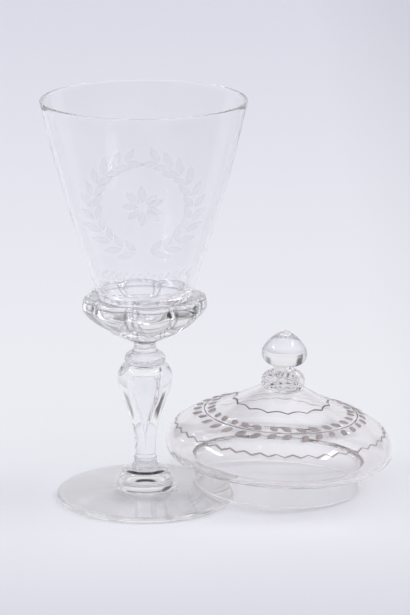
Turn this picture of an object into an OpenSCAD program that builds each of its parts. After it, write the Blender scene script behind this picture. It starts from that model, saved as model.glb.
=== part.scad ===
// Covered glass goblet with a hollow baluster stem, a lobed collar under the bowl,
// and its domed lid taken off and leaning on the foot.
// Millimetres, +Z up. The origin is the centre of the foot, on the table.

/* [Foot] */
// Radius of the round foot
foot_r = 46; // [40:0.5:54]
// Thickness of the foot at its rounded edge
foot_edge_h = 2.9; // [2:0.1:4]
// Height of the foot where the stem is set on it
foot_h = 17.4; // [14:0.2:21]
// Radius of the boss in the middle of the foot, where it stands on the plate
boss_r = 16.2; // [14:0.1:18]
// Height of the plate where the boss stands on it
boss_foot_h = 6.2; // [5.4:0.1:7]
// Radius of the boss at its round shoulder
boss_top_r = 11.2; // [9:0.1:12]
// Height of that shoulder above the table
boss_top_h = 14.8; // [13:0.1:15.6]
// How far the boss bows in at its foot and out at its shoulder
boss_swell = 1.6; // [1:0.1:2]
// Share of the plate's rise that is an even slope, the rest curves up to the boss
foot_slope = 0.18; // [0.1:0.02:0.3]
// Width of the flat ring that the foot rests on
rest_w = 8; // [4:0.5:14]
// Height of the underside above the table at the ground hollow
under_rise = 1.1; // [0.6:0.1:1.6]
// Radius of the hollow ground under the middle of the foot
hollow_r = 15.5; // [10:0.5:18]
// Depth of that hollow
hollow_depth = 1.3; // [0.6:0.1:2]

/* [Stem] */
// Radius of the ring between foot and baluster, at its foot
ring_r = 6.6; // [6:0.1:8]
// Radius of that ring at its top edge
ring_top_r = 6; // [5.6:0.1:7]
// Height of that ring
ring_h = 4.1; // [3:0.1:6]
// Radius of the baluster at its slim lower end
waist_r = 5.4; // [4.6:0.1:5.6]
// Height of the slim end above the ring
waist_h = 5; // [3:0.5:9]
// Largest radius of the baluster
belly_r = 14.1; // [12:0.1:17]
// Height of the baluster's largest radius above the ring
belly_h = 43.7; // [36:0.1:46]
// Whole height of the baluster
baluster_h = 50.5; // [48:0.1:58]
// Radius of the baluster's upper end
shoulder_r = 9; // [8:0.1:10]
// Radius of the air space inside the baluster, at its mouth
mouth_r = 6.2; // [4.6:0.1:7]
// Radius of the slim tail of the air space
tail_r = 0.2; // [0.1:0.05:0.6]
// Share of the air space's height up to which it stays slim
tail_share = 0.6; // [0.45:0.05:0.7]
// Height of the lower tip of the air space above the ring
cavity_tip_h = 3; // [2:0.5:8]
// Largest radius of the disc above the baluster
disc_r = 10.5; // [9.4:0.1:13]
// Height of that radius above the baluster
disc_wide_h = 2.5; // [1.5:0.1:3.5]
// Radius of the disc at its top
disc_top_r = 6.9; // [6.4:0.1:8]
// Height of the disc
disc_h = 6.3; // [5:0.1:8]
// Depth of the disc's plug in the baluster's mouth
plug_h = 6.6; // [4:0.1:9]
// Room between the plug and the mouth
plug_fit = 0.05; // [0.02:0.01:0.1]
// Least radius of the neck under the collar
neck_r = 5.5; // [4.8:0.1:6.2]
// Height of the neck
neck_h = 5.3; // [4:0.1:8]

/* [Collar] */
// Number of lobes round the collar
lobes = 8; // [6:1:10]
// Radius of the collar over the tips of its lobes
collar_r = 32; // [28:0.5:38]
// Radius of one lobe
lobe_r = 13.6; // [12.6:0.1:14.6]
// Depth of a lobe below its widest line
lobe_depth = 12.7; // [10:0.1:14]
// How full the underside of a lobe is
lobe_fullness = 1.75; // [1.4:0.05:2.4]
// Height of a lobe's upright rim above its widest line
lobe_rim_h = 5.3; // [3:0.1:6.5]
// How far a lobe draws in over its upright rim
lobe_rim_in = 1.8; // [0.5:0.1:2.4]
// Height of the whole collar
collar_h = 23.9; // [21:0.1:27]
// Radius of the collar's lower end, on the neck
collar_base_r = 6.5; // [6.2:0.1:8]
// Room between the bowl's rounded base and the collar's cup
cup_fit = 0.2; // [0.1:0.05:0.5]
// How far the cup's upper edge stands off the bowl
cup_edge = 1.8; // [1.4:0.1:3]
// Depth of the cup
cup_depth = 6.9; // [6:0.1:8]
// Angle that turns a lobe towards the front
lobe_turn = 8; // [0:0.5:45]

/* [Bowl] */
// Outer radius of the bowl's rim
rim_r = 52.5; // [46:0.5:60]
// Outer radius of the bowl at half its height
bowl_mid_r = 39.4; // [36:0.2:42]
// Outer radius of the bowl just above its rounded base
bowl_low_r = 22.4; // [20:0.1:24]
// Radius of the flat the bowl stands on in the collar
bowl_seat_r = 12.5; // [10:0.1:15]
// Height of the bowl
bowl_h = 108.8; // [95:0.2:125]
// Height of the bowl's rounded base
bowl_base_h = 3.9; // [3:0.1:6]
// Thickness of the glass at the rim
rim_wall = 1.4; // [1:0.1:2.2]
// Thickness of the glass low on the bowl
bowl_wall = 2.2; // [1.6:0.1:3]
// Thickness of the bowl's floor
floor_h = 2.8; // [2:0.1:4]
// Radius of the flat floor inside
floor_r = 12; // [9:0.5:15]
// Height above the floor of the soft edge where the wall starts
floor_bank_h = 9.2; // [7:0.2:12]

/* [Lid] */
// Outer radius of the flange that goes into the bowl
flange_r = 43.8; // [38:0.2:47]
// Height of the flange
flange_h = 12.4; // [9:0.2:16]
// Thickness of the flange's glass
flange_wall = 1.8; // [1.4:0.1:2.6]
// Thickness of the lid's glass
lid_wall = 1.8; // [1.4:0.1:2.6]
// Radius of the flat step round the flange
step_r = 46.5; // [45:0.1:50]
// Largest radius of the lid, at its shoulder
lid_r = 59.3; // [56:0.1:66]
// Height of the shoulder's widest line above the flange's edge
lid_wide_h = 21; // [18.5:0.1:26]
// Radius at which the shoulder runs out into the crown
crown_r = 38; // [33:0.5:44]
// Height of that line above the flange's edge
crown_h = 39.1; // [36:0.1:43]
// Radius of the flat on top that carries the finial
pad_r = 11; // [10.8:0.1:13]
// Height of that flat above the flange's edge
pad_h = 52.4; // [49:0.2:57]
// Rise of the lid's top, for its run, where the shoulder meets the crown
crown_slope = 0.22; // [0.1:0.02:0.4]

/* [Finial] */
// Number of lobes round the finial's collar
finial_lobes = 4; // [3:1:8]
// Radius of the finial's collar over its lobes
finial_r = 11.8; // [11:0.1:13.5]
// Radius of one of these lobes
finial_lobe_r = 6.8; // [6:0.1:7.6]
// How far below its widest line such a lobe would close
finial_lobe_h = 7; // [6:0.1:9]
// Height of the lobes' widest line above the pad
finial_wide_h = 3; // [2.4:0.1:4]
// Height of the lobes' upper end above the pad
finial_lobe_top_h = 9.6; // [8:0.1:11]
// Radius of the collar's core on the pad, between the lobes
finial_base_r = 10.4; // [9:0.1:10.6]
// Height of the neck between the lobes and the knob
finial_neck_h = 2.4; // [1.5:0.1:4]
// Radius of the neck under the knob
finial_neck_r = 5.3; // [4.6:0.1:6.2]
// Largest radius of the knob
knob_r = 11.8; // [10.5:0.1:14]
// Height of the knob's largest radius above its neck
knob_wide_h = 6.3; // [5:0.1:9]
// Height of the knob from its neck to its point
knob_h = 18.4; // [15:0.2:21]
// How broad the knob's point is, as a share of the knob
point_share = 0.62; // [0.4:0.02:0.8]
// Angle that turns the finial's lobes towards the front
finial_turn = 7; // [0:1:60]

/* [Lid beside the goblet] */
// Room between the stem's ring and the lid's shoulder
lid_stem_gap = 4; // [2:0.1:12]
// Bearing of the lid from the goblet, turned from +X
lid_bearing = 12; // [-30:1:60]
// Room between the lid's flange and the foot it leans on
lid_rest_gap = 0.15; // [0.1:0.05:0.4]

/* [Hidden] */
$fn = 96;
// Straight pieces in each curve of an outline, and in a small rim
steps = 12;
rim_steps = 3;
// Least number of flat sides round a lobed piece
lobed_sides = 64;
// How far up the baluster stays slim and how far down it stays full, as shares of the way
slim_share = 0.5;
full_share = 0.3;
// Colours of the glass pieces
clear_glass = [0.90, 0.91, 0.94, 0.45];
thick_glass = [0.80, 0.81, 0.86, 0.60];

// Heights of the stacked pieces above the table
ring_z = foot_h;
baluster_z = ring_z + ring_h;
disc_z = baluster_z + baluster_h;
neck_z = disc_z + disc_h;
collar_z = neck_z + neck_h;
lip_z = collar_z + collar_h;
bowl_z = lip_z - cup_depth;

// Where the foot's rounded edge turns into its top
foot_edge_r = foot_r - foot_edge_h / 2;
// Where the axis of a lobe stands
lobe_at = collar_r - lobe_r;
finial_lobe_at = finial_r - finial_lobe_r;
// Height of the knob's neck above the flange's edge
knob_z = pad_h + finial_lobe_top_h + finial_neck_h;

// The lid's place: clear of the stem, its flange resting on the table and over the foot
lid_reach = lid_r + ring_r + lid_stem_gap;
lid_prop_h = foot_top(lid_reach - flange_r) + lid_rest_gap;
lid_tilt = asin(lid_prop_h / (2 * flange_r));

// Height of the foot's plate at a distance from the axis
function foot_top(r) =
    let (
        along = min(1, max(0, (foot_edge_r - r) / (foot_edge_r - boss_r))),
        rise = foot_slope * along + (1 - foot_slope) * along * along
    )
    foot_edge_h + (boss_foot_h - foot_edge_h) * rise;

// Point on a cubic curve with control points a, b, c and d
function cubic(a, b, c, d, t) =
    pow(1 - t, 3) * a + 3 * pow(1 - t, 2) * t * b + 3 * (1 - t) * t * t * c + pow(t, 3) * d;

// A curve from a to d, without its first point
function curve(a, b, c, d) = [for (i = [1 : steps]) cubic(a, b, c, d, i / steps)];

// A curve from a to b that leaves and arrives upright, keeping to each end for a share of the way
function sway(a, b, leave, arrive) =
    let (rise = b.y - a.y)
    curve(a, [a.x, a.y + leave * rise], [b.x, b.y - arrive * rise], b);

// A curve from a to c that passes through b half way, without its first point
function through(a, b, c) =
    let (pull = 2 * b - (a + c) / 2)
    [for (i = [1 : steps])
        let (t = i / steps)
        pow(1 - t, 2) * a + 2 * t * (1 - t) * pull + t * t * c];

// Part of a circle about a centre, from one angle to another
function arc(centre, r, from, to) =
    [for (i = [0 : steps]) let (a = from + (to - from) * i / steps) centre + r * [cos(a), sin(a)]];

// The same outline moved to its left by a distance
function moved_left(line, by) =
    let (last = len(line) - 1)
    [for (i = [0 : last])
        let (
            way = line[min(i + 1, last)] - line[max(i - 1, 0)],
            side = [-way.y, way.x] / norm(way)
        )
        line[i] + by * side];

function reversed(line) = [for (i = [len(line) - 1 : -1 : 0]) line[i]];

// Distance from the axis to a round lobe, in a direction turned from the lobe's own axis
function lobe_reach(at, lobe, angle) =
    let (aside = at * sin(angle))
    lobe > abs(aside) ? at * cos(angle) + sqrt(lobe * lobe - aside * aside) : 0;

// The bowl's rounded base, from the edge of its seat to its wall
function bowl_base() =
    let (seat = [bowl_seat_r, bowl_z], low = [bowl_low_r, bowl_z + bowl_base_h])
    curve(seat, [(seat.x + low.x) / 2, seat.y], low - [bowl_wall, bowl_wall], low);

// One level of a lobed body: level holds its height, its lobes' radius and its core's radius
function lobed_level(level, count, at, turn) =
    let (lobe_sides = ceil(lobed_sides / count), sides = count * lobe_sides, pitch = 360 / count)
    [for (i = [0 : sides - 1])
        let (
            angle = i * 360 / sides,
            from_lobe = (i % lobe_sides) * pitch / lobe_sides - pitch / 2,
            r = max(level[2], lobe_reach(at, level[1], from_lobe))
        )
        [r * cos(angle + turn), r * sin(angle + turn), level[0]]];

// A solid through a stack of levels, the first and the last of them flat ends
module lobed_body(levels, count, at, turn) {
    sides = count * ceil(lobed_sides / count);
    last = len(levels) - 1;
    points = [for (level = levels) each lobed_level(level, count, at, turn + 180 / count)];
    walls = [for (k = [0 : last - 1], i = [0 : sides - 1])
        let (next = (i + 1) % sides, low = k * sides, high = low + sides)
        each [[low + i, high + i, high + next], [low + i, high + next, low + next]]];
    low_end = [for (i = [0 : sides - 1]) i];
    high_end = [for (i = [sides - 1 : -1 : 0]) last * sides + i];
    polyhedron(points, concat([low_end], walls, [high_end]), convexity = 4);
}

// Puts the lid where it leans, from its own upright position
module lean_lid() {
    rotate(lid_bearing)
        translate([lid_reach, 0, flange_r * sin(lid_tilt)])
            rotate([0, lid_tilt, 0]) children();
}

// Foot: a shallow plate with a round boss under the stem, hollow below, with a rounded edge
module foot() {
    plate = [for (i = [1 : steps])
        let (r = foot_edge_r + (boss_r - foot_edge_r) * i / steps) [r, foot_top(r)]];
    boss_foot = [boss_r, boss_foot_h];
    boss_top = [boss_top_r, boss_top_h];
    stem_end = [ring_r, foot_h];
    bow_in = boss_foot + [-boss_swell, boss_swell / 2];
    bow_out = boss_top + [boss_swell, -boss_swell / 4];
    flare_z = boss_top_h + boss_swell / 4;
    flare_out = [(boss_top_r + ring_r) / 2, flare_z];
    rest_in = foot_edge_r - rest_w;
    hollow = [for (i = [0 : steps])
        let (share = i / steps)
        [hollow_r * share, under_rise + hollow_depth * (1 - share * share)]];
    color(thick_glass)
        rotate_extrude()
            polygon(concat(
                hollow,
                [[rest_in, 0]],
                arc([foot_edge_r, foot_edge_h / 2], foot_edge_h / 2, -90, 90),
                plate,
                curve(boss_foot, bow_in, bow_out, boss_top),
                curve(boss_top, flare_out, [ring_r, flare_z], stem_end),
                [[0, foot_h]]
            ));
}

// Ring between the foot and the baluster, waisted in the middle
module foot_ring() {
    low = [ring_r, ring_z];
    high = [ring_top_r, ring_z + ring_h];
    pinch = [waist_r, ring_z + ring_h / 2];
    slim = (low + high + 2 * pinch) / 4;
    color(thick_glass)
        rotate_extrude()
            polygon(concat([[0, low.y], low], through(low, slim, high), [[0, high.y]]));
}

// Baluster: blown hollow, open at its mouth until the disc closes it
module stem_baluster() {
    foot_end = [waist_r, baluster_z];
    waist = [waist_r, baluster_z + waist_h];
    belly = [belly_r, baluster_z + belly_h];
    top = [shoulder_r, baluster_z + baluster_h];
    tip = [0, baluster_z + cavity_tip_h];
    ceiling = [mouth_r, top.y - plug_h];
    tail_z = tip.y + tail_share * (ceiling.y - tip.y);
    color(clear_glass)
        rotate_extrude()
            polygon(concat(
                [[0, foot_end.y], foot_end, waist],
                sway(waist, belly, slim_share, full_share),
                curve(belly, [belly.x, (belly.y + top.y) / 2], [(belly.x + top.x) / 2, top.y], top),
                [[mouth_r, top.y]],
                reversed(concat([tip], curve(tip, [tail_r, tail_z], [mouth_r, tail_z], ceiling)))
            ));
}

// Disc above the baluster, with the plug that closes the baluster's mouth
module stem_disc() {
    low = [shoulder_r, disc_z];
    wide = [disc_r, disc_z + disc_wide_h];
    high = [disc_top_r, disc_z + disc_h];
    draw_in = [(wide.x + high.x) / 2, (wide.y + 3 * high.y) / 4];
    plug_r = mouth_r - plug_fit;
    plug_z = disc_z - plug_h;
    color(thick_glass)
        rotate_extrude()
            polygon(concat(
                [[0, plug_z], [plug_r, plug_z], [plug_r, disc_z], low],
                curve(low, [wide.x, low.y], [wide.x, (low.y + wide.y) / 2], wide),
                curve(wide, [wide.x, (wide.y + high.y) / 2], draw_in, high),
                [[0, high.y]]
            ));
}

// Short waisted neck between the disc and the collar
module stem_neck() {
    low = [disc_top_r, neck_z];
    high = [collar_base_r, collar_z];
    slim = [neck_r, (low.y + high.y) / 2];
    color(clear_glass)
        rotate_extrude() polygon(concat([[0, low.y], low], through(low, slim, high), [[0, high.y]]));
}

// Collar under the bowl: solid lobes round a core that widens from the neck, with a cup on top
module collar() {
    wide_z = collar_z + collar_h - lobe_rim_h;
    core = [
        [collar_z, 0, collar_base_r],
        [wide_z - lobe_depth, 0, lobe_at],
    ];
    lobe = [for (i = [1 : steps])
        let (down = 1 - pow(i / steps, lobe_fullness))
        [wide_z - lobe_depth * down, lobe_r * (1 - pow(down, lobe_fullness)), lobe_at]];
    rim = [for (i = [1 : rim_steps])
        let (a = 90 * i / rim_steps)
        [wide_z + lobe_rim_h * sin(a), lobe_r - lobe_rim_in * (1 - cos(a)), lobe_at]];
    cup = concat(
        [[lip_z, 0, bowl_low_r + cup_edge]],
        [for (p = reversed(bowl_base())) [p.y, 0, p.x + cup_fit]],
        [[bowl_z, 0, bowl_seat_r + cup_fit]]
    );
    color(thick_glass)
        lobed_body(concat(core, lobe, rim, cup), lobes, lobe_at, lobe_turn - 90);
}

// Bowl: a thin funnel, slightly full, thicker at its base
module bowl() {
    low = [bowl_low_r, bowl_z + bowl_base_h];
    mid = [bowl_mid_r, (low.y + bowl_z + bowl_h) / 2];
    rim = [rim_r, bowl_z + bowl_h];
    wall = through(low, mid, rim);
    radii = [for (p = concat([low], wall)) [p.y, p.x]];
    floor_edge = [floor_r, bowl_z + floor_h];
    bank_z = floor_edge.y + floor_bank_h;
    bank = [lookup(bank_z, radii) - bowl_wall, bank_z];
    bank_turn = bank - [bowl_wall, floor_bank_h / 2];
    in_rim = rim - [rim_wall, 0];
    in_z = (bank_z + rim.y) / 2;
    in_mid = [lookup(in_z, radii) - (rim_wall + bowl_wall) / 2, in_z];
    in_wall = concat(
        [floor_edge],
        curve(floor_edge, floor_edge + [bowl_wall, 0], bank_turn, bank),
        through(bank, in_mid, in_rim)
    );
    color(clear_glass)
        rotate_extrude()
            polygon(concat(
                [[0, bowl_z], [bowl_seat_r, bowl_z]],
                bowl_base(),
                wall,
                reversed(in_wall),
                [[0, floor_edge.y]]
            ));
}

// Lid: a blown dome with a full round shoulder and a flat step round its opening
module lid_dome() {
    step = [step_r, flange_h];
    wide = [lid_r, lid_wide_h];
    crown = [crown_r, crown_h];
    pad = [pad_r, pad_h];
    lead = [1, -crown_slope];
    out_line = concat(
        [step],
        curve(step, [(step.x + 2 * wide.x) / 3, step.y], [wide.x, (step.y + wide.y) / 2], wide),
        curve(wide, [wide.x, (wide.y + crown.y) / 2], crown + lead * (wide.x - crown.x) / 2, crown),
        curve(crown, crown - lead * (crown.x - pad.x) / 4, (crown + 2 * pad) / 3, pad)
    );
    in_line = reversed(moved_left(out_line, lid_wall));
    mouth = flange_r - flange_wall;
    color(clear_glass)
        lean_lid()
            rotate_extrude()
                polygon(concat(
                    [[mouth, flange_h]],
                    out_line,
                    [[0, pad_h], [0, in_line[0].y]],
                    in_line,
                    [[mouth, flange_h + lid_wall]]
                ));
}

// Flange: the upright ring that centres the lid in the bowl
module lid_flange() {
    color(clear_glass)
        lean_lid()
            rotate_extrude()
                translate([flange_r - flange_wall, 0]) square([flange_wall, flange_h]);
}

// Collar of the finial: melon lobes round a core, drawn in to the knob's neck
module finial_collar() {
    wide_z = pad_h + finial_wide_h;
    above = finial_lobe_top_h - finial_wide_h;
    narrowing = (finial_base_r - finial_neck_r) / finial_lobe_top_h;
    low = [for (i = [0 : rim_steps - 1])
        let (down = finial_wide_h * (1 - i / rim_steps))
        [-down, finial_lobe_r * sqrt(1 - pow(down / finial_lobe_h, 2))]];
    high = [for (i = [0 : steps])
        let (a = 90 * i / steps)
        [above * sin(a), finial_lobe_r * cos(a)]];
    lobed = [for (level = concat(low, high))
        [wide_z + level[0], level[1], finial_base_r - narrowing * (finial_wide_h + level[0])]];
    neck = [[knob_z, 0, finial_neck_r]];
    color(thick_glass)
        lean_lid()
            lobed_body(concat(lobed, neck), finial_lobes, finial_lobe_at, finial_turn - 90);
}

// Knob of the finial: a solid onion that rises to a point
module finial_knob() {
    neck = [finial_neck_r, knob_z];
    wide = [knob_r, neck.y + knob_wide_h];
    point = [0, neck.y + knob_h];
    spread = [(neck.x + 3 * wide.x) / 4, neck.y];
    shoulder = [wide.x, (3 * wide.y + point.y) / 4];
    taper = [wide.x * point_share, (wide.y + 3 * point.y) / 4];
    color(thick_glass)
        lean_lid()
            rotate_extrude()
                polygon(concat(
                    [[0, neck.y], neck],
                    curve(neck, spread, [wide.x, (neck.y + wide.y) / 2], wide),
                    curve(wide, shoulder, taper, point)
                ));
}

foot();
foot_ring();
stem_baluster();
stem_disc();
stem_neck();
collar();
bowl();
lid_dome();
lid_flange();
finial_collar();
finial_knob();
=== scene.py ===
# %% [markdown]
# # A covered glass goblet with its lid set down beside it
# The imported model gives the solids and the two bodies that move: the goblet and its lid. Glass shows
# every flat facet as a streak, so each piece is turned again here with finer curves, and takes the
# place of its solid. The paint on the lid and the matt ornament on the bowl are added.

# %% Load the frame
import math

import bpy
import numpy as np
from mathutils import Matrix, Vector


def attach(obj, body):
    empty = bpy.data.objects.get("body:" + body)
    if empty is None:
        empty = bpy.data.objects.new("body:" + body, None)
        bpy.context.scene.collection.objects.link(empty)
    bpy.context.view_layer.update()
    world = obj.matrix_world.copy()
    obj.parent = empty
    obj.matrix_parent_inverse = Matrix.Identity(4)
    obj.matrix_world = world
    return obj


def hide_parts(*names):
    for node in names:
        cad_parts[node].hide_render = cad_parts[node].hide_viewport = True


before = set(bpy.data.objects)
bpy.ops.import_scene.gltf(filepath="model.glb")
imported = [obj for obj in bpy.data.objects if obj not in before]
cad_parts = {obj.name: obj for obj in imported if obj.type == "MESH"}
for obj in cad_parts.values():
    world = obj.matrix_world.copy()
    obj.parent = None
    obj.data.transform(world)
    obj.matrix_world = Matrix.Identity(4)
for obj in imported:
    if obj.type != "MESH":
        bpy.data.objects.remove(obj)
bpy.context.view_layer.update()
MM = 0.001

# %% [markdown]
# ## Camera
# The picture was taken from in front and a little above, from far enough for the upright lines to
# stay upright. A long lens does the same here. The sensor's width belongs to the longer side of the
# picture.

# %% Camera
SENSOR_W, LENS, FAR_CLIP = 36, 178.02, 50
CAMERA_PLACE, LOOKING_DOWN = (0.0308, -1.5015, 0.5011), 14.92
camera_data = bpy.data.cameras.new("camera")
camera_data.sensor_width = SENSOR_W
camera_data.lens = LENS
camera_data.clip_end = FAR_CLIP
camera = bpy.data.objects.new("camera", camera_data)
camera.location = CAMERA_PLACE
camera.rotation_euler = (math.radians(90 - LOOKING_DOWN), 0, 0)
bpy.context.scene.collection.objects.link(camera)
bpy.context.scene.camera = camera
print("camera at", [round(v, 3) for v in camera.location], "lens", round(camera_data.lens, 1))

# %% [markdown]
# ## Node trees from sums
# A node tree is easier to read as a sum than as a list of links. One small class holds an output
# socket of a tree. Adding or multiplying two of them adds a Math node, and `node` adds any other
# node.


# %% A socket that can be used in sums
class Strand:
    def __init__(self, tree, socket=None):
        self.tree, self.socket = tree, socket

    def node(self, kind, inputs=(), out=0, **settings):
        made = self.tree.nodes.new(kind)
        for name, value in settings.items():
            if name == "stops":
                ramp = made.color_ramp.elements
                while len(ramp) < len(value):
                    ramp.new(1)
                for stop, (place, colour) in zip(ramp, value):
                    stop.position, stop.color = place, colour
            else:
                setattr(made, name, value)
        pairs = inputs.items() if isinstance(inputs, dict) else enumerate(inputs)
        for key, value in pairs:
            if isinstance(value, Strand):
                self.tree.links.new(value.socket, made.inputs[key])
            else:
                made.inputs[key].default_value = value
        return Strand(self.tree, made.outputs[out] if len(made.outputs) else None)

    def also(self, out):
        return Strand(self.tree, self.socket.node.outputs[out])

    def maths(self, operation, *others):
        return self.node("ShaderNodeMath", [self, *others], operation=operation)

    def __add__(self, other):
        return self.maths("ADD", other)

    def __sub__(self, other):
        return self.maths("SUBTRACT", other)

    def __mul__(self, other):
        return self.maths("MULTIPLY", other)

    def __truediv__(self, other):
        return self.maths("DIVIDE", other)

    def __rsub__(self, other):
        return self.node("ShaderNodeMath", [other, self], operation="SUBTRACT")

    def __rtruediv__(self, other):
        return self.node("ShaderNodeMath", [other, self], operation="DIVIDE")

    __radd__ = __add__
    __rmul__ = __mul__


# %% [markdown]
# ## Glass
# Clear glass is a transmitting shader with an index near 1.5. One even shader would look like
# plastic, because worked glass is never quite even: its skin ripples a little, it has been wiped and
# touched, and thick pieces look greyer than thin ones. So one noise clouds the tint, one sets how
# clean the surface is and a slow one bends it. The tint also darkens where the surface turns away:
# this is painted shade, standing for the dark room that thick glass bends into view at its edges.
# Blown glass, worked glass, the lid and the foot each have their own tint and painted edge shade.

# %% Glass finishes
GLASS_INDEX, EDGE_SHADE_POWER = 1.5, 2.2
CLOUD_SCALE, CLOUD_CONTRAST = 40, 3
WIPE_SCALE, WIPE_ROUGHNESS, RIPPLE_DEPTH = 55, 0.06, 0.0004


def new_finish(name):
    material = bpy.data.materials.new(name)
    material.use_nodes = True
    tree = material.node_tree
    shader = tree.nodes["Principled BSDF"]
    start = Strand(tree)
    place = start.node("ShaderNodeTexCoord", out="Object")
    return material, shader, start, place


def plug(shader, name, strand):
    strand.tree.links.new(strand.socket, shader.inputs[name])


def noise(place, scale, detail):
    return place.node("ShaderNodeTexNoise", {"Vector": place, "Scale": scale, "Detail": detail}, out="Fac")


def blend(share, first, second):
    return share.node("ShaderNodeMix", {0: share, 6: first, 7: second}, out=2, data_type="RGBA")


def roughen(shader, height, strength, depth):
    bump = height.node("ShaderNodeBump", {"Strength": strength, "Distance": depth, "Height": height})
    plug(shader, "Normal", bump)


def glass_finish(name, tint, deep_tint, edge_shade, ripple_size, ripple, lines=None):
    material, shader, start, place = new_finish(name)
    shader.inputs["Transmission Weight"].default_value = 1
    shader.inputs["IOR"].default_value = GLASS_INDEX
    cloud = (noise(place, CLOUD_SCALE, 3) - 0.5) * CLOUD_CONTRAST + 0.5
    facing = start.node("ShaderNodeLayerWeight", {"Blend": 0.5}, out="Facing")
    # painted edge shade: the tint darkens towards the edge colour where the surface turns away
    colour = blend(facing.maths("POWER", EDGE_SHADE_POWER), blend(cloud, tint, deep_tint), edge_shade)
    if lines:
        # painted shade: dark lines along the collar's grooves
        colour = blend(lines(place), colour, edge_shade)
    plug(shader, "Base Color", colour)
    wiped = noise(place, WIPE_SCALE, 4)
    plug(shader, "Roughness", (wiped - 0.5).maths("MAXIMUM", 0) * WIPE_ROUGHNESS)
    roughen(shader, noise(place, 1 / ripple_size, 1), ripple, RIPPLE_DEPTH)
    return material


# the third colour of each glass is its painted edge shade
WORKED = (0.965, 0.962, 0.975, 1), (0.93, 0.926, 0.945, 1), (0.07, 0.06, 0.08, 1), 0.012, 0.08
blown_glass = glass_finish(
    "blown glass", (0.985, 0.985, 0.992, 1), (0.965, 0.966, 0.978, 1), (0.97, 0.965, 0.975, 1), 0.02, 0.12
)
worked_glass = glass_finish("worked glass", *WORKED)
lid_glass = glass_finish(
    "lid glass", (0.99, 0.984, 0.983, 1), (0.974, 0.966, 0.965, 1), (0.86, 0.84, 0.85, 1), 0.02, 0.12
)
foot_glass = glass_finish(
    "foot glass", (0.972, 0.968, 0.966, 1), (0.9, 0.896, 0.893, 1), (0.55, 0.54, 0.55, 1), 0.014, 0.06
)
print("glass:", [finish.name for finish in (blown_glass, worked_glass, lid_glass, foot_glass)])

# %% [markdown]
# ## Where the pieces are fused
# The pieces of the goblet were joined while hot, so light passes from one to the next as if there
# were no joint. Each piece is a closed solid here, and the faces that meet another piece get a finish
# of no opacity.

# %% Fused faces
fused_joint = new_finish("fused joint")[0]
fused_joint.node_tree.nodes["Principled BSDF"].inputs["Alpha"].default_value = 0
SKIN, FUSED = 0, 1
print("finish of a joint:", fused_joint.name)

# %% [markdown]
# ## Curves
# An outline is a list of points, each with its distance from the axis and its height, in millimetres.
# A cubic curve between two points makes the swelling of a stem or a lid, and a small arc rounds an
# edge as fire polishing does.

# %% Curves of an outline
CURVE_STEPS = 28


def bow(a, b, c, d):
    a, b, c, d = (np.array(p, float) for p in (a, b, c, d))
    t = np.linspace(0, 1, CURVE_STEPS + 1)[1:, None]
    return ((1 - t) ** 3 * a + 3 * (1 - t) ** 2 * t * b + 3 * (1 - t) * t**2 * c + t**3 * d).tolist()


def through(a, b, c):
    a, b, c = (np.array(p, float) for p in (a, b, c))
    pull = 2 * b - (a + c) / 2
    t = np.linspace(0, 1, CURVE_STEPS + 1)[1:, None]
    return ((1 - t) ** 2 * a + 2 * t * (1 - t) * pull + t**2 * c).tolist()


def rounded(before, corner, after, radius, steps=6):
    before, corner, after = (np.array(p, float) for p in (before, corner, after))
    into, out = before - corner, after - corner
    into, out = into / np.linalg.norm(into), out / np.linalg.norm(out)
    half = math.acos(np.clip(into @ out, -1, 1)) / 2
    a, d = corner + into * radius / math.tan(half), corner + out * radius / math.tan(half)
    t = np.linspace(0, 1, steps + 1)[:, None]
    reach = 0.55 + 0.1 * abs(math.sin(half))
    b, c = a + (corner - a) * reach, d + (corner - d) * reach
    return ((1 - t) ** 3 * a + 3 * (1 - t) ** 2 * t * b + 3 * (1 - t) * t**2 * c + t**3 * d).tolist()


def radius_at(line, height):
    line = np.array(line)
    return float(np.interp(height, line[:, 1], line[:, 0]))


# %% [markdown]
# ## Turning
# All but two pieces are bodies of revolution. The outline is turned round the axis, points on the
# axis become one vertex, and a ring of edges is sharp where the outline turns a corner. The runs of
# an outline say which of its faces are skin and which are fused to a neighbour.

# %% Turn an outline
SIDES = 192
CORNER = math.radians(32)


def mesh_object(name, verts, faces, kinds, materials, sharp=()):
    mesh = bpy.data.meshes.new(name)
    mesh.from_pydata((np.array(verts) * MM).tolist(), [], faces)
    for material in materials:
        mesh.materials.append(material)
    mesh.polygons.foreach_set("material_index", kinds)
    mesh.polygons.foreach_set("use_smooth", [True] * len(faces))
    if sharp:
        marks = mesh.attributes.new("sharp_edge", "BOOLEAN", "EDGE")
        for edge in mesh.edges:
            marks.data[edge.index].value = tuple(sorted(edge.vertices)) in sharp
    mesh.update()
    made = bpy.data.objects.new(name, mesh)
    bpy.context.scene.collection.objects.link(made)
    return made


def flatten(runs):
    points, kinds = [], []
    for kind, run in runs:
        points += [list(p) for p in run]
        kinds += [kind] * len(run)
    line = np.array(points)
    area = np.sum(line[:, 0] * np.roll(line[:, 1], -1) - np.roll(line[:, 0], -1) * line[:, 1])
    if area < 0:
        line = line[::-1]
        kinds = [kinds[-i] for i in range(len(kinds))]
    return line, kinds


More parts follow.
